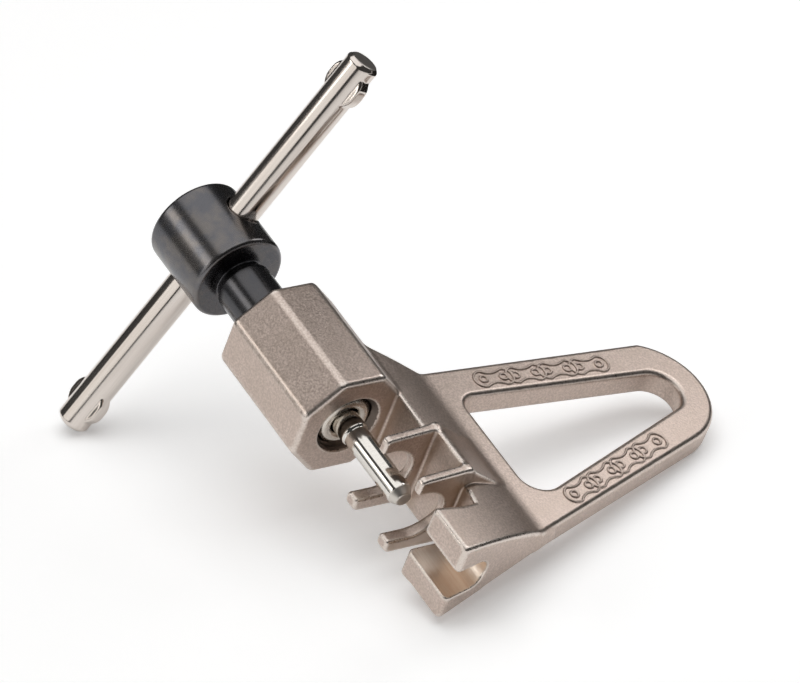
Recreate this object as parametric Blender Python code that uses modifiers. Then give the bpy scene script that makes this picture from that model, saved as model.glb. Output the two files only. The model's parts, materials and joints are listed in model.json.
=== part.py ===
"""Compact bicycle chain tool: a cast frame with two chain cradles and a loop handle, and a T-handled drive screw.

The tool's own axes, before it is stood on the ground:
  X  the drive screw's axis, towards the end block that backs the chain
  Y  from the screw's axis towards the loop handle
  Z  normal to the flat loop handle
Its zero is on the screw's axis, at the front face of the octagonal barrel.
Every size below is in millimetres; MM turns it into Blender's metres.
"""

import math

import bmesh
import bpy
from mathutils import Matrix, Vector

MM = 0.001

# Barrel: a regular octagon with a threaded bore, drawn without its thread.
BARREL_LENGTH = 19.2
BARREL_FLATS = 16.0
BARREL_EDGE = 0.6
BORE_RADIUS = 4.15
BORE_MOUTH_RADIUS = 4.75

# Wedge-shaped spine between the barrel, the end block and the handle.
SPINE_HALF_HEIGHT = 6.9
SPINE_TOP_EDGE = 1.4
CREASE = 14.2
PLATE_HALF = 2.0
UNDER_HALF_HEIGHT = 6.5
UNDER_AT_CREASE = 1.9
SPINE_FLOOR = 5.9
REAR_FLOOR = 6.4
SPINE_REAR = -4.8
SPINE_REAR_AT_BARREL = -10.5

# End block behind the chain, slotted for the rivet that is pushed out.
BLOCK_FACE = -2.4
BLOCK_END = 29.7
BLOCK_END_AT_CREASE = 26.2
BLOCK_REAR = 21.4
BLOCK_REAR_CORNER = (20.9, 5.2)
BLOCK_REAR_TURN = 2.6
FOOT_REAR = 20.2
FOOT_TOP = -1.5
FOOT_INNER = 5.6
BLOCK_EDGE = 0.7
RAMP_FROM = (17.0, 1.0)
RAMP_TOP_AT = (21.4, 1.2)
RAMP_NORMAL = (-0.745, -0.218, 0.631)
SLOT_HALF = 2.35
SLOT_DEPTH = 1.8
SLOT_MIDDLE = -0.25

# Chain cradles: two walls with a saddle each that fits a chain's roller.
WALL_FRONTS = (9.5, 17.4)
WALL_THICKNESS = 1.45
SADDLE_RADIUS = 4.0
UPPER_PRONG_TIPS = (-1.9, -1.4)
LOWER_PRONG_TIP = -3.3
PRONG_TOP = 6.75
PRONG_BOTTOM = -6.1
BUTTRESS_SPAN = (8.15, 17.3)
BUTTRESS_TOP = 7.0
BUTTRESS_INNER = 5.8
BUTTRESS_OUTER = 6.5

# Loop handle, seen along its normal.
LOOP_END = (6.7, 44.6)
LOOP_END_RADIUS = 9.9
LOOP_REAR_EDGE_END = (-2.04, 49.25)
HOLE_CORNERS = ((0.75, 17.1), (20.3, 17.1), (9.6, 50.1), (3.7, 50.1))
HOLE_RADII = (2.0, 3.2, 3.6, 3.4)
PLATE_EDGE = 0.5

# Drive screw and the pieces it carries.
SCREW_RADIUS = 3.95
NECK_GROOVE_RADIUS = 3.3
HEAD_RADIUS = 6.87
HEAD_REAR = -41.0
HEAD_FRONT = -28.8
HEAD_EDGE = 0.75
SCREW_END = -0.8
SOCKET_RADIUS = 2.75
SOCKET_DEPTH = 6.7
RING_GROOVE_RADIUS = 3.1
RING_GROOVE = (-2.95, -2.3)

T_BAR_AT = -35.5
T_BAR_RADIUS = 2.38
T_BAR_HOLE_RADIUS = 2.55
T_BAR_LENGTH = 66.75
T_BAR_OFFSET = 0.425
T_BAR_TURN = math.radians(24.6)
T_BAR_CHAMFER = 0.5
EAR_FROM_END = 4.2
EAR_HALF_AXES = (1.2, 3.05, 3.2)

PIN_RADIUS = 1.74
PIN_COLLAR_RADIUS = 1.95
PIN_BASE_RADIUS = 2.5
PIN_BASE = (-7.3, -3.1)
PIN_COLLAR_END = 1.6
PIN_CONE_START = 13.0
PIN_TIP = 14.2
PIN_TIP_RADIUS = 1.05

RING_RADII = (2.05, 2.95)
RING_SPAN = (-2.85, -2.4)
RING_GAP = math.radians(50.0)

# Where the tool touches the ground when it is laid down: the lower end of the T-bar, the foot of the
# end block and the round end of the loop. They fix how the whole tool leans.
GROUND_POINTS = ((-35.5, -13.7, -29.9), (29.3, -2.4, -6.5), (9.0, 54.2, -2.0))

NICKEL = (0.42, 0.36, 0.31, 1.0)
BRIGHT_STEEL = (0.62, 0.58, 0.54, 1.0)
BLACK_OXIDE = (0.035, 0.035, 0.04, 1.0)
HARD_STEEL = (0.66, 0.65, 0.63, 1.0)

PARTS = "chain_tool"
CUTTERS = "chain_tool_cutters"


# ---------------------------------------------------------------- scene


def clear_scene():
    for obj in list(bpy.data.objects):
        bpy.data.objects.remove(obj, do_unlink=True)


def new_collection(name):
    collection = bpy.data.collections.new(name)
    bpy.context.scene.collection.children.link(collection)
    return collection


def metal(name, colour, roughness):
    material = bpy.data.materials.new(name)
    material.use_nodes = True
    shader = material.node_tree.nodes["Principled BSDF"]
    shader.inputs["Base Color"].default_value = colour
    shader.inputs["Metallic"].default_value = 1.0
    shader.inputs["Roughness"].default_value = roughness
    return material


def move_to(obj, collection):
    for holder in list(obj.users_collection):
        holder.objects.unlink(obj)
    collection.objects.link(obj)


def as_part(obj, name, material, parent):
    """Names an object, gives it its material and hangs it under an empty."""
    obj.name = name
    obj.data.name = name
    obj.data.materials.clear()
    obj.data.materials.append(material)
    obj.parent = parent
    move_to(obj, bpy.data.collections[PARTS])
    return obj


def as_cutter(obj):
    obj.hide_render = True
    obj.display_type = "WIRE"
    move_to(obj, bpy.data.collections[CUTTERS])
    return obj


def empty(name, parent=None, location=(0.0, 0.0, 0.0)):
    obj = bpy.data.objects.new(name, None)
    obj.empty_display_size = 0.01
    obj.location = Vector(location) * MM
    obj.parent = parent
    bpy.data.collections[PARTS].objects.link(obj)
    return obj


# ---------------------------------------------------------------- shapes


def rounded(corners, radii, steps=6):
    """A closed outline whose corners are arcs of the given radii; a radius of 0 keeps the corner sharp."""
    points = []
    count = len(corners)
    for i, radius in enumerate(radii):
        corner = Vector(corners[i])
        before = (Vector(corners[i - 1]) - corner).normalized()
        after = (Vector(corners[(i + 1) % count]) - corner).normalized()
        if radius == 0:
            points.append(corner)
            continue
        half = before.angle(after) / 2
        centre = corner + (before + after).normalized() * (radius / math.sin(half))
        start = corner + before * (radius / math.tan(half)) - centre
        end = corner + after * (radius / math.tan(half)) - centre
        sweep = start.angle_signed(end)
        for step in range(steps + 1):
            points.append(centre + Matrix.Rotation(-sweep * step / steps, 2) @ start)
    return points


def arc(centre, radius, start, end, steps):
    """Points on a circle from one angle to another, both in radians."""
    angles = [start + (end - start) * step / steps for step in range(steps + 1)]
    return [(centre[0] + radius * math.cos(a), centre[1] + radius * math.sin(a)) for a in angles]


def joined_mesh(obj):
    """A mesh object with a curve's evaluated shape, its caps welded on, in place of the curve."""
    graph = bpy.context.evaluated_depsgraph_get()
    mesh = bpy.data.meshes.new_from_object(obj.evaluated_get(graph))
    mesh_object = bpy.data.objects.new(obj.name + "_mesh", mesh)
    mesh_object.matrix_world = obj.matrix_world
    bpy.context.scene.collection.objects.link(mesh_object)
    bpy.data.objects.remove(obj, do_unlink=True)
    work = bmesh.new()
    work.from_mesh(mesh)
    bmesh.ops.remove_doubles(work, verts=work.verts, dist=1e-6)
    bmesh.ops.recalc_face_normals(work, faces=work.faces)
    work.to_mesh(mesh)
    work.free()
    return mesh_object


def slab(name, outlines, low, high):
    """A flat outline, with any holes, drawn in XY and thick from low to high along Z."""
    curve = bpy.data.curves.new(name, "CURVE")
    curve.dimensions = "2D"
    curve.fill_mode = "BOTH"
    curve.extrude = (high - low) / 2 * MM
    for outline in outlines:
        spline = curve.splines.new("POLY")
        spline.points.add(len(outline) - 1)
        for point, place in zip(spline.points, outline):
            point.co = (place[0] * MM, place[1] * MM, 0.0, 1.0)
        spline.use_cyclic_u = True
    obj = bpy.data.objects.new(name, curve)
    obj.location.z = (high + low) / 2 * MM
    bpy.context.scene.collection.objects.link(obj)
    bpy.context.view_layer.update()
    mesh_object = joined_mesh(obj)
    apply_matrix(mesh_object)
    return mesh_object


def bar(name, outline, low, high):
    """A prism along X whose cross-section is drawn as (Y, Z) points."""
    obj = slab(name, [outline], low, high)
    obj.data.transform(Matrix(((0, 0, 1, 0), (1, 0, 0, 0), (0, 1, 0, 0), (0, 0, 0, 1))))
    return obj


def apply_matrix(obj):
    obj.data.transform(obj.matrix_world)
    obj.matrix_world = Matrix.Identity(4)


def round_bar(name, radius, low, high, sides):
    """A cylinder along X from low to high."""
    bpy.ops.mesh.primitive_cylinder_add(vertices=sides, radius=radius * MM, depth=(high - low) * MM)
    obj = bpy.context.active_object
    obj.name = name
    obj.rotation_euler.y = math.pi / 2
    obj.location.x = (high + low) / 2 * MM
    bpy.context.view_layer.update()
    apply_matrix(obj)
    return obj


def turned(name, profile, sides):
    """A solid turned about X from (radius, X) points that run from its rear end to its front end."""
    mesh = bpy.data.meshes.new(name)
    corners = [(radius * MM, 0.0, -along * MM) for radius, along in profile]
    mesh.from_pydata(corners, [(i, i + 1) for i in range(len(corners) - 1)], [])
    obj = bpy.data.objects.new(name, mesh)
    bpy.context.scene.collection.objects.link(obj)
    screw = obj.modifiers.new("turn", "SCREW")
    screw.steps = sides
    screw.render_steps = sides
    screw.use_merge_vertices = True
    screw.merge_threshold = 1e-6
    bake(obj)
    obj.data.transform(Matrix.Rotation(-math.pi / 2, 4, "Y"))
    return obj


def bake(obj):
    """Makes an object's modifiers part of its mesh."""
    bpy.context.view_layer.update()
    graph = bpy.context.evaluated_depsgraph_get()
    obj.data = bpy.data.meshes.new_from_object(obj.evaluated_get(graph))
    obj.modifiers.clear()


def soften(obj, width, segments=1):
    bevel = obj.modifiers.new("edges", "BEVEL")
    bevel.width = width * MM
    bevel.segments = segments
    bevel.limit_method = "ANGLE"
    bevel.angle_limit = math.radians(32.0)
    bake(obj)
    return obj


def combine(obj, others, operation):
    """Joins others to obj, or cuts them from it, and leaves the result in obj."""
    for other in others:
        boolean = obj.modifiers.new(other.name, "BOOLEAN")
        boolean.operation = operation
        boolean.object = other
    bake(obj)
    for other in others:
        bpy.data.objects.remove(other, do_unlink=True)
    return obj


def shade_round(obj):
    obj.data.shade_smooth()
    obj.data.set_sharp_from_angle(angle=math.radians(30.0))
    return obj


# ---------------------------------------------------------------- cast frame


def barrel():
    corner_radius = BARREL_FLATS / 2 / math.cos(math.pi / 8)
    outline = arc((0, 0), corner_radius, math.pi / 8, math.pi / 8 + 7 * math.pi / 4, 7)
    return soften(bar("barrel", outline, -BARREL_LENGTH, 0.0), BARREL_EDGE)


def slope_height(distance):
    """Half the spine's height at a distance from the screw's axis."""
    fall = (SPINE_HALF_HEIGHT - PLATE_HALF) / (CREASE - SPINE_TOP_EDGE)
    return SPINE_HALF_HEIGHT - fall * (distance - SPINE_TOP_EDGE)


def mirrored_section(upper):
    """A closed cross-section from its upper half, mirrored in the handle's mid-plane."""
    return upper + [(y, -z) for y, z in reversed(upper)]


def under_height(distance):
    """How far the spine's underside is below the handle's mid-plane, at a distance from the screw's axis."""
    fall = (UNDER_HALF_HEIGHT - UNDER_AT_CREASE) / (CREASE - BLOCK_FACE)
    return UNDER_HALF_HEIGHT - fall * (distance - BLOCK_FACE)


def block_end(distance):
    """Where the end block's slanting front face is, at a distance from the screw's axis."""
    along = (distance - BLOCK_FACE) / (CREASE - BLOCK_FACE)
    return BLOCK_END + (BLOCK_END_AT_CREASE - BLOCK_END) * along


def ramp_height(along, distance):
    """Height of the shallow ramp between the cradles and the end block's top."""
    across = RAMP_NORMAL[0] * (along - RAMP_TOP_AT[0]) + RAMP_NORMAL[1] * (distance - RAMP_TOP_AT[1])
    return SPINE_HALF_HEIGHT - across / RAMP_NORMAL[2]


def above_ramp():
    """Everything above the ramp, as a block with a sloping underside."""
    corners = [RAMP_FROM, (BLOCK_REAR + 2, RAMP_FROM[1]), (BLOCK_REAR + 2, CREASE), (RAMP_FROM[0], CREASE)]
    points = [(x * MM, y * MM, ramp_height(x, y) * MM) for x, y in corners]
    points += [(x * MM, y * MM, 16.0 * MM) for x, y in corners]
    faces = [(3, 2, 1, 0), (4, 5, 6, 7), (0, 1, 5, 4), (1, 2, 6, 5), (2, 3, 7, 6), (3, 0, 4, 7)]
    mesh = bpy.data.meshes.new("above_ramp")
    mesh.from_pydata(points, [], faces)
    obj = bpy.data.objects.new("above_ramp", mesh)
    bpy.context.scene.collection.objects.link(obj)
    return obj


def spine():
    """The wedge and the end block: one cross-section, trimmed to its outline in plan, and the block's foot."""
    past = CREASE + 1.2
    section = [
        (BLOCK_FACE, SPINE_HALF_HEIGHT - BLOCK_EDGE),
        (BLOCK_FACE + BLOCK_EDGE, SPINE_HALF_HEIGHT),
        (SPINE_TOP_EDGE, SPINE_HALF_HEIGHT),
        (past, slope_height(past)),
        (past, -under_height(past)),
        (BLOCK_FACE, -UNDER_HALF_HEIGHT),
    ]
    wedge = bar("spine", section, SPINE_REAR_AT_BARREL - 4, BLOCK_END + 4)
    plan = [
        (SPINE_REAR_AT_BARREL, SPINE_FLOOR),
        (0.0, REAR_FLOOR),
        (BUTTRESS_SPAN[1], SPINE_FLOOR),
        BLOCK_REAR_CORNER,
        (BLOCK_REAR, BLOCK_REAR_TURN),
        (BLOCK_REAR, BLOCK_FACE - 1),
        (block_end(BLOCK_FACE - 1), BLOCK_FACE - 1),
        (block_end(past + 1), past + 1),
        (SPINE_REAR, past + 1),
        (SPINE_REAR, CREASE),
    ]
    combine(wedge, [slab("spine_plan", [plan], -20.0, 20.0)], "INTERSECT")
    deep_section = [(SPINE_FLOOR - 2, -1), (past, -1), (past, -slope_height(past))]
    deep_section.append((SPINE_FLOOR - 2, -slope_height(SPINE_FLOOR - 2)))
    deep = bar("deep_wedge", deep_section, SPINE_REAR_AT_BARREL - 4, BUTTRESS_SPAN[1] - 0.5)
    combine(deep, [slab("deep_plan", [plan], -20.0, 20.0)], "INTERSECT")
    foot = bar("foot", section, FOOT_REAR, BLOCK_REAR + 3)
    foot_box = [
        (BLOCK_FACE - 1, -20), (FOOT_INNER, -20), (FOOT_INNER, FOOT_TOP), (BLOCK_FACE - 1, FOOT_TOP),
    ]
    combine(foot, [bar("foot_box", foot_box, FOOT_REAR - 1, BLOCK_REAR + 4)], "INTERSECT")
    combine(wedge, [deep, foot], "UNION")
    return combine(wedge, [above_ramp()], "DIFFERENCE")


def buttress():
    """The thick back of the two cradles, which stands above the wedge."""
    section = mirrored_section(
        [(BUTTRESS_INNER, BUTTRESS_TOP), (BUTTRESS_OUTER, BUTTRESS_TOP), (CREASE - 0.3, PLATE_HALF + 0.1)]
    )
    return bar("buttress", section, *BUTTRESS_SPAN)


def cradle_wall(front, upper_tip):
    """One wall across the chain: a long lower prong, a short upper one and the roller's saddle between."""
    root = BUTTRESS_OUTER + 0.2
    saddle = arc((0, 0), SADDLE_RADIUS, -math.pi / 2, math.pi / 2, 12)
    corners = [
        (root, PRONG_TOP),
        (upper_tip, PRONG_TOP - 0.3),
        (upper_tip, SADDLE_RADIUS),
        (LOWER_PRONG_TIP, -SADDLE_RADIUS),
        (LOWER_PRONG_TIP, PRONG_BOTTOM),
        (root, PRONG_BOTTOM),
    ]
    tips = rounded(corners, (0, 0.8, 0.8, 0.8, 0.8, 0), steps=3)
    split = tips.index(Vector(corners[0])) + 1 + 8
    outline = tips[:split] + [Vector(place) for place in reversed(saddle)] + tips[split:]
    return soften(bar("cradle_wall", outline, front - WALL_THICKNESS, front), 0.25)


def loop_plate():
    """The flat triangular loop and the strip that joins it to the spine."""
    hole = rounded(HOLE_CORNERS, HOLE_RADII, steps=6)
    front_root = Vector((block_end(CREASE), CREASE))
    reach = Vector(LOOP_END) - front_root
    lean = math.asin(LOOP_END_RADIUS / reach.length)
    front_angle = math.atan2(reach.y, reach.x) + lean - math.pi / 2 - 2 * lean
    rear = Vector(LOOP_REAR_EDGE_END) - Vector(LOOP_END)
    round_end = arc(LOOP_END, LOOP_END_RADIUS, front_angle, math.atan2(rear.y, rear.x), 14)
    inside = CREASE - 4.0
    outline = [(SPINE_REAR + 0.2, inside), (block_end(inside) - 1.5, inside), tuple(front_root)]
    outline += round_end + [(SPINE_REAR, CREASE)]
    return soften(slab("loop", [outline, hole], -PLATE_HALF, PLATE_HALF), PLATE_EDGE)


def frame_cutters():
    """The barrel's bore with its two mouths, and the slot through the end block."""
    bore = turned(
        "bore",
        [
            (0, -BARREL_LENGTH - 1),
            (BORE_MOUTH_RADIUS, -BARREL_LENGTH - 1),
            (BORE_MOUTH_RADIUS, -BARREL_LENGTH),
            (BORE_RADIUS, -BARREL_LENGTH + 0.7),
            (BORE_RADIUS, -0.9),
            (BORE_MOUTH_RADIUS, -0.3),
            (BORE_MOUTH_RADIUS, 1),
            (0, 1),
        ],
        32,
    )
    round_end = arc((SLOT_DEPTH, SLOT_MIDDLE), SLOT_HALF, -math.pi / 2, math.pi / 2, 8)
    mouth = [(-6, SLOT_MIDDLE + SLOT_HALF), (-6, SLOT_MIDDLE - SLOT_HALF)]
    slot = bar("slot", round_end + mouth, FOOT_REAR - 1, BLOCK_END + 3)
    return [as_cutter(bore), as_cutter(slot)]


def cast_frame(parent, material):
    casting = combine(
        barrel(),
        [spine(), buttress(), loop_plate()] + list(map(cradle_wall, WALL_FRONTS, UPPER_PRONG_TIPS)),
        "UNION",
    )
    for cutter in frame_cutters():
        boolean = casting.modifiers.new(cutter.name, "BOOLEAN")
        boolean.operation = "DIFFERENCE"
        boolean.object = cutter
        cutter.parent = parent
    return as_part(casting, "cast_frame", material, parent)


# ---------------------------------------------------------------- screw, T-bar, pin and ring


def drive_screw(parent, material):
    profile = [
        (0, HEAD_REAR),
        (HEAD_RADIUS - HEAD_EDGE, HEAD_REAR),
        (HEAD_RADIUS, HEAD_REAR + HEAD_EDGE),
        (HEAD_RADIUS, HEAD_FRONT - HEAD_EDGE),
        (HEAD_RADIUS - HEAD_EDGE, HEAD_FRONT),
        (NECK_GROOVE_RADIUS, HEAD_FRONT),
        (NECK_GROOVE_RADIUS, HEAD_FRONT + 0.9),
        (SCREW_RADIUS, HEAD_FRONT + 1.2),
        (SCREW_RADIUS, SCREW_END - 1.1),
        (SCREW_RADIUS - 0.7, SCREW_END),
        (SOCKET_RADIUS, SCREW_END),
        (SOCKET_RADIUS, RING_GROOVE[1]),
        (RING_GROOVE_RADIUS, RING_GROOVE[1]),
        (RING_GROOVE_RADIUS, RING_GROOVE[0]),
        (SOCKET_RADIUS, RING_GROOVE[0]),
        (SOCKET_RADIUS, SCREW_END - SOCKET_DEPTH),
        (0, SCREW_END - SOCKET_DEPTH),
    ]
    screw = turned("drive_screw", profile, 36)
    hole = round_bar("t_bar_hole", T_BAR_HOLE_RADIUS, -HEAD_RADIUS - 2, HEAD_RADIUS + 2, 24)
    hole.data.transform(Matrix.Translation((T_BAR_AT * MM, 0, 0)) @ t_bar_turn())
    as_cutter(hole).parent = parent
    boolean = screw.modifiers.new("t_bar_hole", "BOOLEAN")
    boolean.operation = "DIFFERENCE"
    boolean.object = hole
    return as_part(shade_round(screw), "drive_screw", material, parent)


def t_bar_turn():
    """Turns a bar that lies along X so that it crosses the screw at the T-bar's rest angle."""
    return Matrix.Rotation(-T_BAR_TURN, 4, "X") @ Matrix.Rotation(-math.pi / 2, 4, "Y")


def t_bar(parent, material):
    """The sliding bar, with a pair of staked ears near each end that keep it in the head."""
    half = T_BAR_LENGTH / 2
    profile = [
        (0, -half),
        (T_BAR_RADIUS - T_BAR_CHAMFER, -half),
        (T_BAR_RADIUS, -half + T_BAR_CHAMFER),
        (T_BAR_RADIUS, half - T_BAR_CHAMFER),
        (T_BAR_RADIUS - T_BAR_CHAMFER, half),
        (0, half),
    ]
    rod = turned("t_bar", profile, 24)
    ears = []
    for side in (-1, 1):
        bpy.ops.mesh.primitive_uv_sphere_add(segments=20, ring_count=10, radius=MM)
        ear = bpy.context.active_object
        ear.name = "ear"
        thick, wide, long = EAR_HALF_AXES
        ear.data.transform(
            Matrix.Translation((side * (half - EAR_FROM_END) * MM, 0, 0))
            @ Matrix.Diagonal((long, thick, wide, 1))
        )
        ears.append(ear)
    combine(rod, ears, "UNION")
    rod.data.transform(t_bar_turn() @ Matrix.Translation((T_BAR_OFFSET * MM, 0, 0)))
    return as_part(shade_round(rod), "t_bar", material, parent)


def drive_pin(parent, material):
    profile = [
        (0, PIN_BASE[0]),
        (PIN_BASE_RADIUS, PIN_BASE[0]),
        (PIN_BASE_RADIUS, PIN_BASE[1]),
        (PIN_COLLAR_RADIUS, PIN_BASE[1]),
        (PIN_COLLAR_RADIUS, PIN_COLLAR_END),
        (PIN_RADIUS, PIN_COLLAR_END + 0.35),
        (PIN_RADIUS, PIN_CONE_START),
        (PIN_TIP_RADIUS, PIN_TIP),
        (0, PIN_TIP),
    ]
    return as_part(shade_round(turned("drive_pin", profile, 24)), "drive_pin", material, parent)


def retaining_ring(parent, material):
    """A split ring that sits in the socket's groove and keeps the pin's base in."""
    start, end = RING_GAP / 2, 2 * math.pi - RING_GAP / 2
    outline = arc((0, 0), RING_RADII[1], start, end, 24) + arc((0, 0), RING_RADII[0], end, start, 24)
    return as_part(bar("retaining_ring", outline, *RING_SPAN), "retaining_ring", material, parent)


# ---------------------------------------------------------------- assembly


def lean():
    """Turns the tool so that its three ground points are level and its screw points along world +X."""
    first, second, third = (Vector(point) for point in GROUND_POINTS)
    up = (second - first).cross(third - first).normalized()
    ahead = (Vector((1, 0, 0)) - up * up.x).normalized()
    return Matrix((ahead, up.cross(ahead), up)).to_4x4()


def lay_on_ground(root):
    """Puts the middle of the tool's underside at the world's origin."""
    root.matrix_world = lean()
    bpy.context.view_layer.update()
    graph = bpy.context.evaluated_depsgraph_get()
    low, high = Vector((9, 9, 9)), Vector((-9, -9, -9))
    for obj in bpy.data.collections[PARTS].objects:
        if obj.type != "MESH":
            continue
        evaluated = obj.evaluated_get(graph)
        for vertex in evaluated.data.vertices:
            place = evaluated.matrix_world @ vertex.co
            low = Vector(map(min, low, place))
            high = Vector(map(max, high, place))
    shift = Vector(((low.x + high.x) / 2, (low.y + high.y) / 2, low.z))
    root.matrix_world = Matrix.Translation(-shift) @ lean()
    bpy.context.view_layer.update()


def main():
    clear_scene()
    new_collection(PARTS)
    new_collection(CUTTERS)
    nickel = metal("cast_nickel", NICKEL, 0.42)
    bright = metal("bright_steel", BRIGHT_STEEL, 0.22)
    black = metal("black_oxide", BLACK_OXIDE, 0.32)
    hard = metal("hard_steel", HARD_STEEL, 0.2)
    root = empty("chain_tool_root")
    screw_axis = empty("screw_axis", root)
    bar_axis = empty("t_bar_axis", screw_axis, (T_BAR_AT, 0, 0))
    cast_frame(root, nickel)
    drive_pin(screw_axis, hard)
    retaining_ring(screw_axis, hard)
    drive_screw(screw_axis, black)
    t_bar(bar_axis, bright)
    lay_on_ground(root)


main()
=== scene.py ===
"""Looks for the chain tool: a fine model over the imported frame, its materials, studio and camera.

Shapes are worked out in the tool's own axes, in millimetres: u along the drive screw towards the
end block, v towards the loop handle and n normal to the loop. Zero is on the screw's axis at the
front face of the octagonal barrel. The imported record's joints and mounts say where those axes lie
in the world.

A shape is a field: a function of u, v and n that is below 0 inside the shape and 0 on its surface.
In the fields, m is the distance from the tool's middle plane, and a number that stands alone is a
place or a size in millimetres, or the radius of an edge or a fillet.
"""

import json
import math

import bpy
import numpy as np
from mathutils import Matrix, Vector

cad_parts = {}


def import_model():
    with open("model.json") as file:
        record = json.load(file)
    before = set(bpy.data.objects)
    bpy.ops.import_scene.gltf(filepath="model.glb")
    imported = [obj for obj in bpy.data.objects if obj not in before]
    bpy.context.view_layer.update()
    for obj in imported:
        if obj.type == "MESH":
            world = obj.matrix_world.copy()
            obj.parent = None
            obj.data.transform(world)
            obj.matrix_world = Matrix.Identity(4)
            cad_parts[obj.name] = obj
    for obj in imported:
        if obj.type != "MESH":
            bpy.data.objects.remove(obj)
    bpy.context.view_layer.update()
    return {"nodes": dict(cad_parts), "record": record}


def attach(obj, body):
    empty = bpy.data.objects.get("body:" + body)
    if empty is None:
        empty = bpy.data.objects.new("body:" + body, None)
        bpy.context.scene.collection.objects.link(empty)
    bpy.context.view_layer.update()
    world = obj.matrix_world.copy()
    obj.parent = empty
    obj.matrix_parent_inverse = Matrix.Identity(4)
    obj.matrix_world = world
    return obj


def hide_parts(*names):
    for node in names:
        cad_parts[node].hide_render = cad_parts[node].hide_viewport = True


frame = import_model()

MM = 0.001
RECORD = frame["record"]
JOINTS = {joint["name"]: joint for joint in RECORD["behaviour"]["joints"]}
MOUNTS = {mount["name"]: mount for mount in RECORD["mounts"]}


def tool_axes():
    """The matrix from the tool's axes, in millimetres, to the world's, in metres."""
    zero = Vector(JOINTS["screw_turn"]["pos_m"])
    along = Vector(JOINTS["screw_turn"]["axis"]).normalized()
    normal = Vector(MOUNTS["loop_top_face"]["axis"]).normalized()
    side = normal.cross(along).normalized()
    normal = along.cross(side)
    turn = Matrix((along, side, normal)).transposed().to_4x4()
    return Matrix.Translation(zero) @ turn @ Matrix.Scale(MM, 4)


TOOL = tool_axes()

# ---------------------------------------------------------------- distance fields


def cut(a, b, radius):
    """What is inside both a and b, with the edge between them rounded."""
    over = np.sqrt(np.maximum(a + radius, 0) ** 2 + np.maximum(b + radius, 0) ** 2)
    return np.minimum(-radius, np.maximum(a, b)) + over


def join(a, b, radius):
    """What is inside a or b, with a fillet between them."""
    return -cut(-a, -b, radius)


def polygon(a, b, corners):
    """Signed distance to a closed polygon."""
    nearest, sign = 1e9, 1.0
    for (ax, ay), (bx, by) in zip(corners, corners[-1:] + corners[:-1]):
        ex, ey = bx - ax, by - ay
        wx, wy = a - ax, b - ay
        t = np.clip((wx * ex + wy * ey) / (ex * ex + ey * ey), 0, 1)
        nearest = np.minimum(nearest, (wx - ex * t) ** 2 + (wy - ey * t) ** 2)
        above, below, left = b >= ay, b < by, ex * wy > ey * wx
        flips = (above & below & left) | (~above & ~below & ~left)
        sign = np.where(flips, -sign, sign)
    return sign * np.sqrt(nearest)


def inset(corners, amount):
    """A polygon's corners moved inwards; it runs anticlockwise."""
    moved = []
    for i, corner in enumerate(corners):
        corner = Vector(corner)
        before = (corner - Vector(corners[i - 1])).normalized()
        after = (Vector(corners[(i + 1) % len(corners)]) - corner).normalized()
        turn = 1 + before.dot(after)
        inward = Vector((-before.y - after.y, before.x + after.x)) / turn
        moved.append(tuple(corner + inward * amount))
    return moved


def arc(centre, radius, start, end, steps):
    angles = [start + (end - start) * i / steps for i in range(steps + 1)]
    return [(centre[0] + radius * math.cos(a), centre[1] + radius * math.sin(a)) for a in angles]


def rounded(corners, radii, steps=8):
    points = []
    for i, radius in enumerate(radii):
        corner = Vector(corners[i])
        before = (Vector(corners[i - 1]) - corner).normalized()
        after = (Vector(corners[(i + 1) % len(corners)]) - corner).normalized()
        half = before.angle(after) / 2
        centre = corner + (before + after).normalized() * (radius / math.sin(half))
        start = corner + before * (radius / math.tan(half)) - centre
        sweep = start.angle_signed(corner + after * (radius / math.tan(half)) - centre)
        points += [
            tuple(centre + Matrix.Rotation(-sweep * step / steps, 2) @ start)
            for step in range(steps + 1)
        ]
    return points


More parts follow.
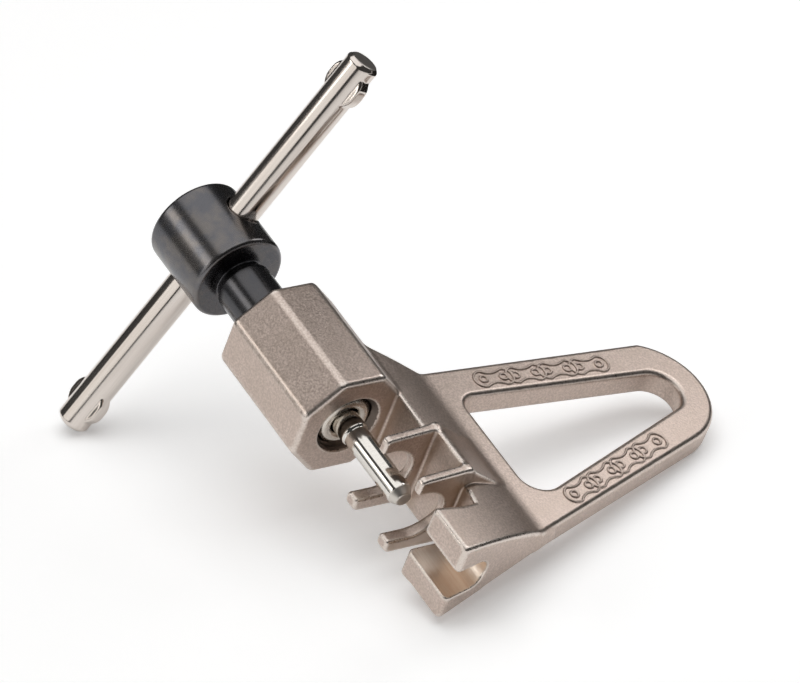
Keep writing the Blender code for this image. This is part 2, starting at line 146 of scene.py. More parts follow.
def surface(field, low, high, step):
    """Vertices on the field's zero surface, and the quads between them (naive surface nets)."""
    axes = [np.arange(a, b + step, step, dtype=np.float32) for a, b in zip(low, high)]
    grid = np.broadcast_to(
        field(axes[0][:, None, None], axes[1][None, :, None], axes[2][None, None, :]),
        [len(axis) for axis in axes],
    ).astype(np.float32)
    inside = grid < 0
    corners = [(i, j, k) for i in (0, 1) for j in (0, 1) for k in (0, 1)]
    size = np.array(grid.shape) - 1

    def part(array, corner):
        return array[tuple(slice(c, c + s) for c, s in zip(corner, size))]

    count = sum(part(inside, corner).astype(np.int8) for corner in corners)
    cells = np.argwhere((count > 0) & (count < 8))
    index = np.full(size, -1, np.int32)
    index[tuple(cells.T)] = np.arange(len(cells))
    values = np.stack([part(grid, corner)[tuple(cells.T)] for corner in corners], 1)
    total, crossings = np.zeros((len(cells), 3)), np.zeros(len(cells))
    for a in range(8):
        for b in range(a + 1, 8):
            start, end = np.array(corners[a]), np.array(corners[b])
            if np.abs(end - start).sum() != 1:
                continue
            crossed = (values[:, a] < 0) != (values[:, b] < 0)
            t = values[crossed, a] / (values[crossed, a] - values[crossed, b])
            total[crossed] += start + t[:, None] * (end - start)
            crossings[crossed] += 1
    points = (cells + total / crossings[:, None]) * step + np.array(low)
    quads = []
    for axis in range(3):
        others = [(axis + 1) % 3, (axis + 2) % 3]
        first, second = [slice(None)] * 3, [slice(None)] * 3
        first[axis], second[axis] = slice(0, -1), slice(1, None)
        crossed = inside[tuple(first)] != inside[tuple(second)]
        places = np.argwhere(crossed)
        keep = np.all([(places[:, o] > 0) & (places[:, o] < size[o]) for o in others], 0)
        places = places[keep]
        ring = []
        for p, q in ((1, 1), (0, 1), (0, 0), (1, 0)):
            cell = places.copy()
            cell[:, others[0]] -= p
            cell[:, others[1]] -= q
            ring.append(index[tuple(cell.T)])
        ring = np.stack(ring, 1)
        outwards = inside[tuple(first)][tuple(places.T)]
        quads.append(np.where(outwards[:, None], ring, ring[:, ::-1]))
    return points, np.concatenate(quads)


def slope_of(field, points, reach=0.02):
    steps = np.eye(3) * reach
    return np.stack(
        [(field(*(points + s).T) - field(*(points - s).T)) / (2 * reach) for s in steps], 1
    )


def settle(field, points, step, rounds=3):
    """Moves the points onto the field's zero surface."""
    for _ in range(rounds):
        slope = slope_of(field, points)
        move = field(*points.T)[:, None] * slope / np.maximum((slope**2).sum(1), 0.25)[:, None]
        length = np.linalg.norm(move, axis=1, keepdims=True)
        points = points - move * np.minimum(1, 0.6 * step / np.maximum(length, 1e-9))
    return points


def roundness(field, points, reach):
    """Above 0 on outer edges and below 0 in inner ones."""
    steps = np.eye(3) * reach
    return sum(field(*(points + s).T) + field(*(points - s).T) for s in steps) / reach


def nearness(field, points, reach):
    """0 on an open surface, towards 1 at the bottom of a pocket."""
    slope = slope_of(field, points)
    slope /= np.maximum(np.linalg.norm(slope, axis=1, keepdims=True), 1e-6)
    return np.clip(1 - field(*(points + slope * reach).T) / reach, 0, 1)


def solid(name, field, low, high, step, body, stands_for, masks):
    """A piece made from a field, in the tool's axes, with an attribute for each mask."""
    points, quads = surface(field, low, high, step)
    points = settle(field, points, step)
    turn = np.array(TOOL)
    world = points @ turn[:3, :3].T + turn[:3, 3]
    mesh = bpy.data.meshes.new(name)
    mesh.vertices.add(len(world))
    mesh.vertices.foreach_set("co", world.astype(np.float32).ravel())
    mesh.loops.add(quads.size)
    mesh.loops.foreach_set("vertex_index", quads.astype(np.int32).ravel())
    mesh.polygons.add(len(quads))
    mesh.polygons.foreach_set("loop_start", np.arange(0, quads.size, 4, dtype=np.int32))
    mesh.update(calc_edges=True)
    mesh.validate()
    mesh.shade_smooth()
    for key, mask in masks.items():
        values = np.clip(mask(points), 0, 1).astype(np.float32)
        mesh.attributes.new(key, "FLOAT", "POINT").data.foreach_set("value", values)
    obj = bpy.data.objects.new(name, mesh)
    bpy.context.scene.collection.objects.link(obj)
    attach(obj, body)
    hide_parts(stands_for)
    return obj


# ---------------------------------------------------------------- cast frame

BARREL_HALF = 8.0
BARREL_REAR = -19.2
BORE_THREAD_REAR = -13.5
PITCH = 25.4 / 24
SPINE_TOP, SPINE_FACE = 6.9, -2.4
UNDER_DEPTH, DEPTH_AT_CREASE, EXTRA_DEPTH = 6.5, 1.9, 1.1
TOP_CREASE, LOOP_CREASE = 1.4, 14.1
LOOP_HALF = 2.0
BLOCK_REAR = 21.4
SLOT_HALF, SLOT_DEPTH, SLOT_MIDDLE, SLOT_START = 2.35, 1.8, -0.25, 19.4
SADDLE_RADIUS = 4.0
CRADLE_THICKNESS = 1.42
CRADLES = ((9.5, -1.9), (17.4, -1.3))
MOUTH_REACH = 4.68

SPINE_SLOPE = math.atan2(SPINE_TOP - LOOP_HALF, LOOP_CREASE - TOP_CREASE)
UNDER_SLOPE = math.atan2(UNDER_DEPTH - DEPTH_AT_CREASE, LOOP_CREASE - SPINE_FACE)
SPINE_PLAN = [
    (-10.4, 5.9), (0.0, 6.4), (17.3, 5.9), (20.9, 5.2), (21.4, 2.6), (21.4, -2.4), (29.65, -2.4),
    (26.15, 14.2), (25.5, 17.5), (-4.3, 17.5), (-4.6, 14.1),
]
LOOP_OUTLINE = (
    [(-4.4, 10.0), (25.0, 10.0), (26.15, 14.2)]
    + arc((6.7, 44.6), 9.9, math.radians(16.7), math.radians(152.0), 24)
    + [(-4.8, 14.1)]
)
LOOP_HOLE = rounded(
    [(0.75, 17.1), (20.3, 17.1), (9.6, 50.1), (3.7, 50.1)], [2.0, 3.2, 3.6, 3.4], 10
)
LOOP_HOLE.reverse()


def thread(u, v, n, phase=0.0):
    """A triangle wave from 0 to 1 that winds round the screw's axis once a pitch."""
    turns = u / PITCH - np.arctan2(n, v) / (2 * math.pi) + phase
    return 1 - np.abs(2 * (turns - np.floor(turns)) - 1)


def slot_side(v, n):
    """Distance to the slot's sides and round end, seen along the screw."""
    middle = n - SLOT_MIDDLE
    bottom = np.sqrt((v - SLOT_DEPTH) ** 2 + middle**2)
    return np.where(v < SLOT_DEPTH, np.abs(middle), bottom) - SLOT_HALF


def barrel(u, v, m):
    """The octagonal barrel, from its front face at zero to BARREL_REAR."""
    corners = (np.abs(v) + m) / math.sqrt(2)
    across = cut(np.maximum(np.abs(v), m) - BARREL_HALF, corners - BARREL_HALF, 0.45)
    return cut(across, np.abs(u - BARREL_REAR / 2) + BARREL_REAR / 2, 0.75)


def underside(u, v, n):
    """The sloping plane under the spine, which lies lower behind the two cradles."""
    deeper = np.clip((23.0 - u) / 6.0, 0, 1) * np.clip((14.1 - v) / 8.0, 0, 1) * EXTRA_DEPTH
    down = (-n - UNDER_DEPTH - deeper) * math.cos(UNDER_SLOPE)
    return down + (v - SPINE_FACE) * math.sin(UNDER_SLOPE)


def spine(u, v, n, m):
    """The wedge with its end block, the foot under it, the ramp behind it and the brow."""
    falling = (n - SPINE_TOP) * math.cos(SPINE_SLOPE) + (v - TOP_CREASE) * math.sin(SPINE_SLOPE)
    under = underside(u, v, n)
    section = cut(cut(n - SPINE_TOP, falling, 4.0), under, 0.5)
    section = cut(section, SPINE_FACE - v, 0.7)
    wedge = cut(section, polygon(u, v, inset(SPINE_PLAN, 0.8)) - 0.8, 0.6)

    foot = cut(20.2 - u, 0.979 * u + 0.205 * v - 28.53, 0.9)
    foot = cut(cut(foot, np.abs(v - 1.6) - 4.0, 0.9), cut(under, n + 1.5, 0.2), 0.7)
    wedge = join(wedge, foot, 0.3)
    ramp = -0.745 * (u - BLOCK_REAR) - 0.218 * (v - 1.2) + 0.631 * (n - SPINE_TOP)
    wedge = cut(wedge, np.minimum(ramp, np.minimum(u - 17.0, v - 1.0)), 0.5)

    behind = 0.563 * (v - 6.4) + 0.826 * (m - 7.0)
    brow = cut(cut(m - 7.0, behind, 0.5), 5.75 - v, 0.3)
    brow = cut(brow, np.abs(u - 12.75) - 4.65, 0.4)
    return join(wedge, brow, 0.3)


def loop(u, v, m):
    """The flat loop handle."""
    plate = np.maximum(polygon(u, v, LOOP_OUTLINE), -polygon(u, v, LOOP_HOLE))
    return cut(plate, m - LOOP_HALF, 0.75)


def with_cradles(casting, u, v, n, m):
    """Adds the two walls that hold the chain's rollers; the upper prongs end at each tip."""
    saddle = np.where(v > 0, np.sqrt(v * v + n * n), m) - SADDLE_RADIUS
    lean = np.clip((-n - 1.0) / 3.5, 0, 1) * 0.7
    top = n - 6.4 - np.clip(v + 1.3, 0, 8) * 0.075
    lower = cut(-3.3 - v, -6.1 - n, 1.0)
    for front, tip in CRADLES:
        outline = np.where(n > 0, cut(tip - v, top, 0.75), lower)
        outline = cut(cut(outline, v - 6.8, 0.4), -saddle, 0.35)
        rear = front - CRADLE_THICKNESS - lean
        side = np.abs(u - (front + rear) / 2) - (front - rear) / 2
        casting = join(casting, cut(outline, side, 0.42), 0.45)
    return casting


def bored(casting, u, v, n):
    """Cuts the threaded bore, with a chamfer at both mouths, and the end block's slot."""
    reach = np.sqrt(v * v + n * n)
    bore = np.where(u > BORE_THREAD_REAR, 3.97 + 0.45 * thread(u, v, n), 4.12)
    mouth = 4.75 + np.minimum(u + 0.1, 0) * 0.8
    rear_mouth = 4.5 - (u - BARREL_REAR) * 0.8
    bore = np.maximum(np.maximum(bore, mouth), rear_mouth)
    casting = cut(casting, np.minimum(bore - reach, 3.0 - u) * 0.7, 0.12)
    return cut(casting, -np.maximum(slot_side(v, n), SLOT_START - u), 0.16)


def cast_frame(u, v, n):
    m = np.abs(n)
    casting = join(spine(u, v, n, m), loop(u, v, m), 0.35)
    casting = with_cradles(casting, u, v, n, m)
    return bored(join(casting, barrel(u, v, m), 0.45), u, v, n)


def machined(points):
    """The slot's own faces, which keep the cutter's marks and a warm tint, and are lightened as a
    painted reflection of the floor.
    """
    u, v, n = points.T
    return np.clip(1.4 - np.abs(slot_side(v, n)) / 0.12, 0, 1) * (u > 20.0) * (v < 4.4)


def bore_shade(points):
    """The bore's own surface, a little way in from the front face, where the casting gets painted
    shade.
    """
    return (np.hypot(points[:, 1], points[:, 2]) < MOUTH_REACH) * (points[:, 0] < -0.15) * 1.0


def build_frame():
    return solid(
        "cast_frame_surface", cast_frame, low=(-20.1, -8.8, -8.8), high=(30.6, 55.5, 8.8),
        step=0.2, body="frame", stands_for="cast_frame",
        masks={
            # edge: convex edges, which the casting lightens partly as wear and partly as a painted
            # highlight
            "edge": lambda p: roundness(cast_frame, p, 0.5) * 0.9,
            # pocket: how deep in a recess a point lies; the casting gets painted shade there
            "pocket": lambda p: nearness(cast_frame, p, 3.0),
            "cutter": machined,
            "bore": bore_shade,
        },
    )


# ---------------------------------------------------------------- screw, T-bar, pin

HEAD_RADIUS, HEAD_MIDDLE, HEAD_HALF = 6.87, -34.9, 6.1
SHANK_RADIUS, SCREW_RADIUS = 3.35, 3.95
THREAD_REAR = -18.0
DOME_RING, DOME_AT, DOME_ROUND = 2.95, -1.5, 0.92
SOCKET_END = -7.5
BAR_RADIUS, BAR_HOLE_RADIUS = 2.38, 2.55
BAR_TURN = math.radians(24.6)
BAR_AT = -35.5
BAR_LOW, BAR_HIGH = -32.95, 33.8
BAR_MIDDLE, BAR_HALF = (BAR_LOW + BAR_HIGH) / 2, (BAR_HIGH - BAR_LOW) / 2
EAR_FROM_END = 4.2
PIN_RADIUS, PIN_END, CONE_START = 1.74, 14.2, 13.0
COLLAR_RADIUS, COLLAR_END = 1.95, 1.9
PIN_REAR = -5.0


def bar_axes(v, n):
    """Distances along the T-bar and across it."""
    along = v * math.sin(BAR_TURN) + n * math.cos(BAR_TURN)
    return along, v * math.cos(BAR_TURN) - n * math.sin(BAR_TURN)


def drive_screw(u, v, n):
    """Head, shank, thread and the domed end, with the T-bar's hole and the pin's socket."""
    reach = np.sqrt(v * v + n * n)
    head = cut(reach - HEAD_RADIUS, np.abs(u - HEAD_MIDDLE) - HEAD_HALF, 0.7)
    threaded = SCREW_RADIUS - 0.5 * thread(u, v, n, 0.5) * (u > THREAD_REAR)
    neck = np.where(u < -27.8, SHANK_RADIUS, threaded)
    neck = np.minimum(neck, SHANK_RADIUS + np.maximum(u + 28.0, 0) * 1.2)
    shaft = np.maximum((reach - neck) * 0.8, np.maximum(u + 1.6, -31.0 - u))
    dome = np.sqrt((reach - DOME_RING) ** 2 + (u - DOME_AT) ** 2) - DOME_ROUND
    body = join(head, join(shaft, dome, 0.1), 0.12)
    _, across = bar_axes(v, n)
    hole = np.sqrt((u - BAR_AT) ** 2 + across**2) - BAR_HOLE_RADIUS
    body = cut(body, -hole, 0.22)
    socket = cut(reach - np.where(u > -2.3, 2.1, 2.75), SOCKET_END - u, 0.1)
    groove = np.maximum(reach - 3.1, np.abs(u + 2.62) - 0.33)
    return cut(body, -np.minimum(socket, groove), 0.1)


def t_bar(u, v, n):
    """A round bar with bevelled ends, pressed flat near both so that it stays in its hole."""
    along, across = bar_axes(v, n)
    x = u - BAR_AT
    reach = np.sqrt(x * x + across**2)
    ends = np.abs(along - BAR_MIDDLE) - BAR_HALF
    bevel = (reach - BAR_RADIUS + ends + 0.55) / math.sqrt(2)
    rod = cut(cut(reach - BAR_RADIUS, bevel, 0.12), ends, 0.08)
    from_ear = np.abs(along - BAR_MIDDLE) - (BAR_HALF - EAR_FROM_END)
    fin = np.sqrt(from_ear**2 * 1.25 + (np.abs(x) + 0.55) ** 2) - 3.8
    fin = cut(cut(fin, np.abs(across) - 0.95, 0.35), np.abs(x) - 3.08, 0.12)
    dent = from_ear**2 / 2.6 + (np.abs(x) - 2.5) ** 2 + (np.abs(across) - 1.6) ** 2
    return join(cut(rod, 0.5 - np.sqrt(dent), 0.25), fin, 0.15)


def drive_pin(u, v, n):
    """The base in the screw's socket, the collar, and the rod with its conical tip."""
    reach = np.sqrt(v * v + n * n)
    base = cut(reach - 2.45, np.abs(u + 5.2) - 2.1, 0.3)
    bevel = (reach - COLLAR_RADIUS + u - 1.7) / math.sqrt(2)
    collar = cut(cut(reach - COLLAR_RADIUS, u - COLLAR_END, 0.12), bevel, 0.1)
    collar = np.maximum(collar, PIN_REAR - u)
    tip = (reach - PIN_RADIUS + (u - CONE_START) * 0.55) / math.sqrt(1.3)
    rod = cut(cut(reach - PIN_RADIUS, tip, 0.08), u - PIN_END, 0.2)
    rod = np.maximum(rod, PIN_REAR - u)
    return join(join(base, collar, 0.1), rod, 0.15)


def beyond(start, sharpness):
    """A mask that rises from 0 to 1 along the screw, from start on."""
    return lambda points: np.clip((points[:, 0] - start) * sharpness, 0, 1)


def bar_ends(points):
    along, _ = bar_axes(points[:, 1], points[:, 2])
    return np.clip((np.abs(along - BAR_MIDDLE) - 33.25) * 12, 0, 1)


def build_screw():
    return solid(
        "drive_screw_surface", drive_screw, low=(-41.6, -7.4, -7.4), high=(-0.3, 7.4, 7.4),
        step=0.15, body="screw", stands_for="drive_screw",
        masks={
            # edge: convex edges, which the screw lightens partly as wear and partly as a painted
            # highlight
            "edge": lambda p: roundness(drive_screw, p, 0.35) * 0.9,
            "bare": beyond(-2.5, 6),
            # shank: from the neck on, where the screw gets painted shade
            "shank": beyond(-28.9, 6),
        },
    )


def build_t_bar():
    return solid(
        "t_bar_surface", t_bar, low=(-39.3, -17.6, -34.0), high=(-31.7, 17.6, 34.0),
        step=0.14, body="t_bar", stands_for="t_bar",
        masks={"ends": bar_ends},
    )


def build_pin():
    return solid(
        "drive_pin_surface", drive_pin, low=(-7.8, -3.0, -3.0), high=(14.7, 3.0, 3.0),
        step=0.1, body="pin", stands_for="drive_pin",
        masks={"tip": beyond(12.95, 8)},
    )


# ---------------------------------------------------------------- raised pattern on the loop

LINE_RADIUS, PLATE_RADIUS, RIVET_RADIUS = 0.2, 1.45, 0.55
PLATE_WAIST, PLATE_PITCH = 0.62, 0.62
PLATE_POINTS, RIVET_POINTS = 72, 24
LINKS_PER_LEG = 4
RELIEF_HEIGHT = 2.02
REAR_LEG = (-1.4, 21.5), (0.35, 42.0)
FRONT_LEG = (21.4, 21.8), (15.2, 41.5)


def link_outline(centre, angle, pitch, radius):
    """A chain plate's figure-eight outline."""
    points = []
    waist = PLATE_WAIST * radius
    for step in range(PLATE_POINTS):
        a = 2 * math.pi * step / PLATE_POINTS
        x, y = (pitch / 2 + radius) * math.cos(a), radius * math.sin(a)
        pinch = waist + (radius - waist) * min(1.0, (abs(x) / (pitch / 2)) ** 2)
        if abs(x) > pitch / 2:
            reach = math.sqrt(max(0.0, radius**2 - (abs(x) - pitch / 2) ** 2))
            y = math.copysign(reach, y)
        else:
            y = math.copysign(pinch, y)
        points.append((x, y))
    turn = Matrix.Rotation(angle, 2)
    return [tuple(Vector(centre) + turn @ Vector(point)) for point in points]


def raised_lines(name, outlines, height):
    """Thin raised lines that follow closed outlines on a face at the given n."""
    curve = bpy.data.curves.new(name, "CURVE")
    curve.dimensions = "3D"
    curve.bevel_depth = LINE_RADIUS * MM
    curve.bevel_resolution = 3
    for outline in outlines:
        spline = curve.splines.new("POLY")
        spline.points.add(len(outline) - 1)
        for point, (u, v) in zip(spline.points, outline):
            point.co = (*(TOOL @ Vector((u, v, height))), 1.0)
        spline.use_cyclic_u = True
    obj = bpy.data.objects.new(name, curve)
    bpy.context.scene.collection.objects.link(obj)
    bpy.context.view_layer.update()
    graph = bpy.context.evaluated_depsgraph_get()
    mesh = bpy.data.meshes.new_from_object(obj.evaluated_get(graph))
    bpy.data.objects.remove(obj)
    mesh.shade_smooth()
    relief = bpy.data.objects.new(name, mesh)
    bpy.context.scene.collection.objects.link(relief)
    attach(relief, "frame")
    return relief


def leg_pattern(start, end):
    """Chain plates in a row along a leg, from start to end, with a rivet circle in each end."""
    start, end = Vector(start), Vector(end)
    along = end - start
    angle = math.atan2(along.y, along.x)
    pitch = along.length / LINKS_PER_LEG * PLATE_PITCH
    full_turn = 2 * math.pi * (RIVET_POINTS - 1) / RIVET_POINTS
    outlines = []
    for i in range(LINKS_PER_LEG):
        centre = start + along * ((i + 0.5) / LINKS_PER_LEG)
        outlines.append(link_outline(centre, angle, pitch, PLATE_RADIUS))
        for side in (-1, 1):
            hub = centre + along.normalized() * (side * pitch / 2)
            outlines.append(arc(hub, RIVET_RADIUS, 0, full_turn, RIVET_POINTS - 1))
    return outlines


def build_relief():
    outlines = leg_pattern(*REAR_LEG) + leg_pattern(*FRONT_LEG)
    return raised_lines("loop_relief", outlines, RELIEF_HEIGHT)


# ---------------------------------------------------------------- materials


class Nodes:
    """A short way to build a Principled material from nodes."""

    def __init__(self, name):
        self.material = bpy.data.materials.new(name)
        self.material.use_nodes = True
        self.tree = self.material.node_tree
        self.shader = self.tree.nodes["Principled BSDF"]
        self.place = self.tree.nodes.new("ShaderNodeTexCoord").outputs["Object"]

    def set(self, socket, value):
        if isinstance(value, bpy.types.NodeSocket):
            self.tree.links.new(value, socket)
        else:
            socket.default_value = value

    def mask(self, name):
        node = self.tree.nodes.new("ShaderNodeAttribute")
        node.attribute_name = name
        return node.outputs["Fac"]

    def noise(self, scale, detail=3.0, roughness=0.55, place=None):
        node = self.tree.nodes.new("ShaderNodeTexNoise")
        node.inputs["Scale"].default_value = scale
        node.inputs["Detail"].default_value = detail
        node.inputs["Roughness"].default_value = roughness
        self.tree.links.new(place or self.place, node.inputs["Vector"])
        return node.outputs["Fac"]

    def stretched(self, direction, ratio):
        """Coordinates that change slowly along a direction, for brushed or ground marks."""
        turn = Vector((0, 0, 1)).rotation_difference(Vector(direction)).inverted().to_euler()
        node = self.tree.nodes.new("ShaderNodeMapping")
        node.vector_type = "POINT"
        node.inputs["Rotation"].default_value = turn
        self.tree.links.new(self.place, node.inputs["Vector"])
        scale = self.tree.nodes.new("ShaderNodeMapping")
        scale.inputs["Scale"].default_value = (1, 1, ratio)
        self.tree.links.new(node.outputs["Vector"], scale.inputs["Vector"])
        return scale.outputs["Vector"]

    def math(self, operation, a, b=0.0, clamp=False):
        node = self.tree.nodes.new("ShaderNodeMath")
        node.operation = operation
        node.use_clamp = clamp
        self.set(node.inputs[0], a)
        self.set(node.inputs[1], b)
        return node.outputs[0]

    def remap(self, value, low, high, to_low=0.0, to_high=1.0):
        node = self.tree.nodes.new("ShaderNodeMapRange")
        self.set(node.inputs["Value"], value)
        ends = {"From Min": low, "From Max": high, "To Min": to_low, "To Max": to_high}
        for key, number in ends.items():
            node.inputs[key].default_value = number
        return node.outputs["Result"]

    def mix(self, factor, a, b):
        """A mix of two colours; a Mix node keeps its colour sockets after those of other types."""
        node = self.tree.nodes.new("ShaderNodeMix")
        node.data_type = "RGBA"
        self.set(node.inputs[0], factor)
        self.set(node.inputs[6], a)
        self.set(node.inputs[7], b)
        return node.outputs[2]

    def tones(self, value, low, high, first, second):
        """One colour where the value is low and another where it is high."""
        return self.mix(self.remap(value, low, high), (*first, 1), (*second, 1))

    def bump(self, height, strength, distance):
        node = self.tree.nodes.new("ShaderNodeBump")
        node.inputs["Strength"].default_value = strength
        node.inputs["Distance"].default_value = distance * MM
        self.tree.links.new(height, node.inputs["Height"])
        return node.outputs["Normal"]

    def metal(self, colour, roughness, normal=None):
        self.set(self.shader.inputs["Base Color"], colour)
        self.set(self.shader.inputs["Roughness"], roughness)
        self.shader.inputs["Metallic"].default_value = 1.0
        if normal:
            self.tree.links.new(normal, self.shader.inputs["Normal"])
        return self.material


ALONG_SCREW = TOOL.col[0].to_3d()
ALONG_BAR = TOOL.to_3x3() @ Vector((0, math.sin(BAR_TURN), math.cos(BAR_TURN)))


def nickel_casting():
    """Fine-grained and plated: lighter on its edges, partly wear and partly a painted highlight,
    and darker in its pockets as painted shade.
    """
    nodes = Nodes("nickel_casting")
    edge, pocket = nodes.mask("edge"), nodes.mask("pocket")
    cutter, bore = nodes.mask("cutter"), nodes.mask("bore")
    grain = nodes.noise(3400, 2.0, 0.6)
    fine = nodes.noise(7500, 1.0)
    patches = nodes.noise(260, 3.0)
    marks = nodes.noise(2600, 2.0, 0.6, nodes.stretched(ALONG_SCREW, 0.06))

    face = nodes.tones(grain, 0.38, 0.66, (0.51, 0.415, 0.362), (0.70, 0.585, 0.52))
    face = nodes.mix(nodes.remap(patches, 0.42, 0.62, 0.0, 0.25), face, (0.50, 0.41, 0.345, 1))
    # Painted shade: the colour darkens towards the bottom of pockets and recesses.
    painted_pocket_shade = nodes.tones(patches, 0.4, 0.6, (0.46, 0.36, 0.28), (0.58, 0.48, 0.41))
    colour = nodes.mix(nodes.remap(pocket, 0.3, 0.85, 0.0, 0.8), face, painted_pocket_shade)
    # Partly painted light: machined faces with cutter's marks, lightened as a painted reflection of
    # the floor.
    cut_face_and_reflection = nodes.tones(marks, 0.35, 0.65, (0.80, 0.66, 0.55), (0.87, 0.76, 0.66))
    colour = nodes.mix(cutter, colour, cut_face_and_reflection)
    speckle = nodes.remap(grain, 0.3, 0.7, -0.12, 0.12)
    # Partly wear and partly a painted highlight: convex edges are lightened as if catching light.
    wear_and_highlight = nodes.remap(nodes.math("ADD", edge, speckle), 0.3, 0.8, 0.0, 0.6)
    colour = nodes.mix(wear_and_highlight, colour, (0.80, 0.735, 0.675, 1))
    # Painted shade: the bore's surface is darkened where shade falls inside it.
    colour = nodes.mix(bore, colour, (0.16, 0.13, 0.11, 1))

    rough = nodes.remap(grain, 0.3, 0.7, 0.31, 0.46)
    rough = nodes.math("SUBTRACT", rough, nodes.math("MULTIPLY", wear_and_highlight, 0.14))
    calm = nodes.math("SUBTRACT", 1.0, nodes.math("MULTIPLY", wear_and_highlight, 0.75), clamp=True)
    relief = nodes.math("ADD", grain, nodes.math("MULTIPLY", fine, 0.4))
    normal = nodes.bump(nodes.math("MULTIPLY", relief, calm), 0.55, 0.05)
    return nodes.metal(colour, rough, normal)


def black_oxide():
    """Blackened steel with turning lines; edges lighter, partly wear and partly a painted
    highlight; the shank darker as painted shade; bare at the domed end.
    """
    nodes = Nodes("black_oxide_steel")
    bare, edge, shank = nodes.mask("bare"), nodes.mask("edge"), nodes.mask("shank")
    lines = nodes.noise(5200, 2.0, 0.5, nodes.stretched(ALONG_SCREW, 3.0))
    cloud = nodes.noise(420, 3.0)
    colour = nodes.tones(cloud, 0.4, 0.62, (0.125, 0.125, 0.135), (0.17, 0.158, 0.152))
    # Partly wear and partly a painted highlight: convex edges are lightened.
    colour = nodes.mix(nodes.remap(edge, 0.25, 0.9, 0.0, 0.45), colour, (0.30, 0.28, 0.27, 1))
    # Painted shade: from the neck on, towards the barrel, the screw is darkened.
    colour = nodes.mix(nodes.math("MULTIPLY", shank, 0.8), colour, (0.07, 0.07, 0.075, 1))
    colour = nodes.mix(bare, colour, (0.68, 0.63, 0.57, 1))
    rough = nodes.remap(lines, 0.3, 0.7, 0.2, 0.3)
    return nodes.metal(colour, rough, nodes.bump(lines, 0.12, 0.01))


def polished_nickel():
    """Drawn and plated bar, duller on its two end faces."""
    nodes = Nodes("polished_nickel")
    ends = nodes.mask("ends")
    draw = nodes.noise(2200, 3.0, 0.6, nodes.stretched(ALONG_BAR, 0.03))
    specks = nodes.noise(2600, 2.0)
    colour = nodes.tones(draw, 0.35, 0.65, (0.66, 0.595, 0.545), (0.74, 0.68, 0.63))
    colour = nodes.mix(nodes.remap(ends, 0.0, 1.0, 0.0, 0.85), colour, (0.42, 0.39, 0.365, 1))
    rough = nodes.remap(draw, 0.3, 0.7, 0.10, 0.17)
    rough = nodes.math("ADD", rough, nodes.math("MULTIPLY", ends, 0.22))
    return nodes.metal(colour, rough, nodes.bump(specks, 0.05, 0.01))


def ground_steel():
    """Ground round the pin's axis, with a duller cone."""
    nodes = Nodes("ground_steel")
    tip = nodes.mask("tip")
    grind = nodes.noise(3000, 2.0, 0.6, nodes.stretched(ALONG_SCREW, 4.0))
    colour = nodes.tones(grind, 0.35, 0.65, (0.72, 0.69, 0.64), (0.80, 0.77, 0.72))
    colour = nodes.mix(tip, colour, (0.66, 0.62, 0.57, 1))
    rough = nodes.remap(grind, 0.3, 0.7, 0.08, 0.14)
    rough = nodes.math("ADD", rough, nodes.math("MULTIPLY", tip, 0.25))
    return nodes.metal(colour, rough, nodes.bump(grind, 0.06, 0.01))


def spring_steel():
    nodes = Nodes("spring_steel")
    specks = nodes.noise(2500, 2.0)
    colour = nodes.tones(specks, 0.35, 0.65, (0.20, 0.185, 0.175), (0.30, 0.28, 0.26))
    return nodes.metal(colour, nodes.remap(specks, 0.3, 0.7, 0.28, 0.4))


def give(obj, material):
    obj.data.materials.clear()
    obj.data.materials.append(material)


# ---------------------------------------------------------------- studio

FLOOR_LIFT, REFLECTED_SHARE = 0.25, 0.7
WORLD_STRENGTH = 0.05
WARM, WARMER = (1.0, 0.985, 0.96), (1.0, 0.98, 0.95)
CARD_SHADE = (0.02, 0.019, 0.018, 1)
CAMERA_AT = Vector((383.79, -411.05, 466.29))
CAMERA_RIGHT = Vector((0.51574, 0.80322, 0.29809))
CAMERA_DOWN = Vector((0.67247, -0.16394, -0.72174))
CAMERA_AHEAD = Vector((-0.53085, 0.57268, -0.62469))


def area_light(name, place, aim, size, power, colour=(1, 1, 1)):
    light = bpy.data.lights.new(name, "AREA")
    light.shape = "RECTANGLE"
    light.size, light.size_y = size
    light.energy = power
    light.color = colour
    obj = bpy.data.objects.new(name, light)
    obj.location = place
    obj.rotation_euler = (Vector(aim) - Vector(place)).to_track_quat("-Z", "Y").to_euler()
    bpy.context.scene.collection.objects.link(obj)
    return obj


def dark_card(place, size):
    """A board that lies just over the floor and shows only in reflections."""
    bpy.ops.mesh.primitive_plane_add(size=1)
    obj = bpy.context.active_object
    obj.name = "dark_card"
    obj.scale = (*size, 1)
    obj.location = place
    material = bpy.data.materials.new("dark_card")
    material.use_nodes = True
    shader = material.node_tree.nodes["Principled BSDF"]
    shader.inputs["Base Color"].default_value = CARD_SHADE
    shader.inputs["Roughness"].default_value = 1.0
    shader.inputs["Specular IOR Level"].default_value = 0.0
    obj.data.materials.append(material)
    obj.visible_camera = False
    obj.visible_shadow = False
    obj.visible_diffuse = False


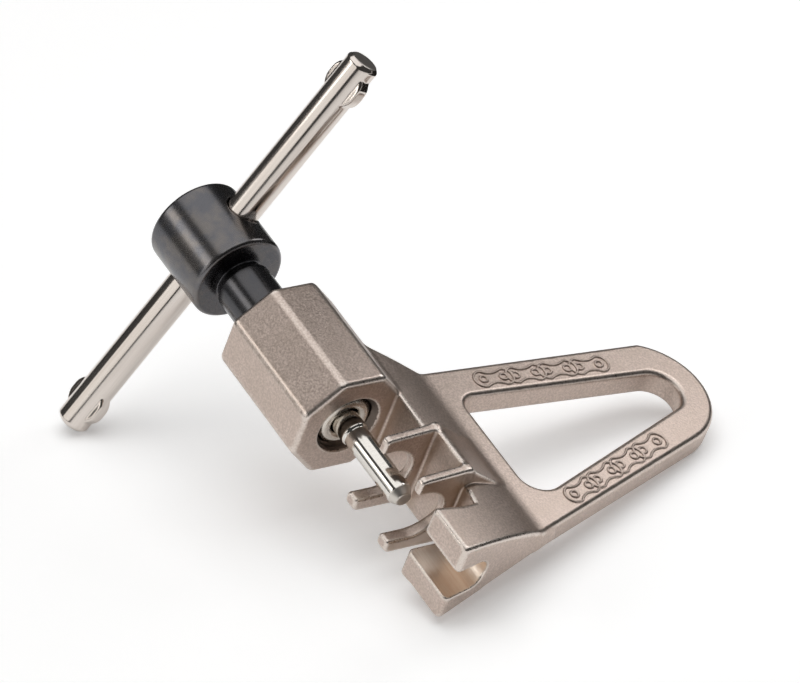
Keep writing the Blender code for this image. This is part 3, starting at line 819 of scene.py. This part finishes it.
def floor():
    """White, and lifted for the camera and in reflections so that its shadows stay pale."""
    bpy.ops.mesh.primitive_plane_add(size=6.0)
    obj = bpy.context.active_object
    obj.name = "floor"
    material = bpy.data.materials.new("floor")
    material.use_nodes = True
    tree = material.node_tree
    shader = tree.nodes["Principled BSDF"]
    shader.inputs["Base Color"].default_value = (0.93, 0.93, 0.93, 1)
    shader.inputs["Roughness"].default_value = 0.9
    shader.inputs["Specular IOR Level"].default_value = 0.1
    shader.inputs["Emission Color"].default_value = (1, 1, 1, 1)
    path = tree.nodes.new("ShaderNodeLightPath")
    seen = tree.nodes.new("ShaderNodeMath")
    seen.operation = "MULTIPLY_ADD"
    seen.inputs[1].default_value = REFLECTED_SHARE
    tree.links.new(path.outputs["Is Glossy Ray"], seen.inputs[0])
    tree.links.new(path.outputs["Is Camera Ray"], seen.inputs[2])
    lift = tree.nodes.new("ShaderNodeMath")
    lift.operation = "MULTIPLY"
    lift.inputs[1].default_value = FLOOR_LIFT
    tree.links.new(seen.outputs[0], lift.inputs[0])
    tree.links.new(lift.outputs[0], shader.inputs["Emission Strength"])
    obj.data.materials.append(material)


def world():
    """Nearly dark all round, and plain white to the camera."""
    scene_world = bpy.data.worlds.new("studio")
    scene_world.use_nodes = True
    tree = scene_world.node_tree
    background = tree.nodes["Background"]
    path = tree.nodes.new("ShaderNodeLightPath")
    seen = tree.nodes.new("ShaderNodeMath")
    seen.operation = "MAXIMUM"
    tree.links.new(path.outputs["Is Camera Ray"], seen.inputs[0])
    seen.inputs[1].default_value = WORLD_STRENGTH
    tree.links.new(seen.outputs[0], background.inputs["Strength"])
    background.inputs["Color"].default_value = (1.0, 0.99, 0.98, 1)
    bpy.context.scene.world = scene_world


def studio():
    world()
    floor()
    area_light("overhead", (-0.2, 0.08, 1.0), aim=(-0.2, 0.08, 0), size=(1.4, 1.24), power=5.9)
    area_light(
        "left_box", (-0.03, -0.95, 0.345), aim=(-0.03, 0, 0.345), size=(0.94, 0.51),
        power=1.45, colour=WARM,
    )
    area_light(
        "upper_left_box", (-0.42, -0.74, 0.54), aim=(0, 0, 0.02), size=(0.5, 0.28),
        power=1.0, colour=WARMER,
    )
    near = area_light(
        "near_box", (-0.009, 0.133, 0.125), aim=(0.024, 0, 0.02), size=(0.06, 0.075), power=0.039
    )
    near.visible_camera = False
    fill = area_light("floor_fill", (0, 0, 1.5), aim=(0, 0, 0), size=(2.0, 2.0), power=9.0)
    fill.visible_glossy = False
    dark_card((-0.25, 0.48, 0.0015), size=(0.9, 0.84))
    bpy.context.scene.view_settings.view_transform = "Standard"


def camera():
    """Seen from the end block's side, above, with a long lens."""
    lens = bpy.data.cameras.new("camera")
    lens.sensor_width = 36.0
    lens.lens = 250.0
    lens.clip_start = 0.05
    obj = bpy.data.objects.new("camera", lens)
    turn = TOOL.to_3x3().normalized()
    across, up, back = turn @ CAMERA_RIGHT, turn @ -CAMERA_DOWN, turn @ -CAMERA_AHEAD
    axes = Matrix((across, up, back)).transposed().to_4x4()
    obj.matrix_world = Matrix.Translation(TOOL @ CAMERA_AT) @ axes
    bpy.context.scene.collection.objects.link(obj)
    bpy.context.scene.camera = obj


def main():
    camera()
    casting = nickel_casting()
    give(build_frame(), casting)
    give(build_relief(), casting)
    give(build_screw(), black_oxide())
    give(build_t_bar(), polished_nickel())
    give(build_pin(), ground_steel())
    give(frame["nodes"]["retaining_ring"], spring_steel())
    studio()
    bpy.context.view_layer.update()


main()
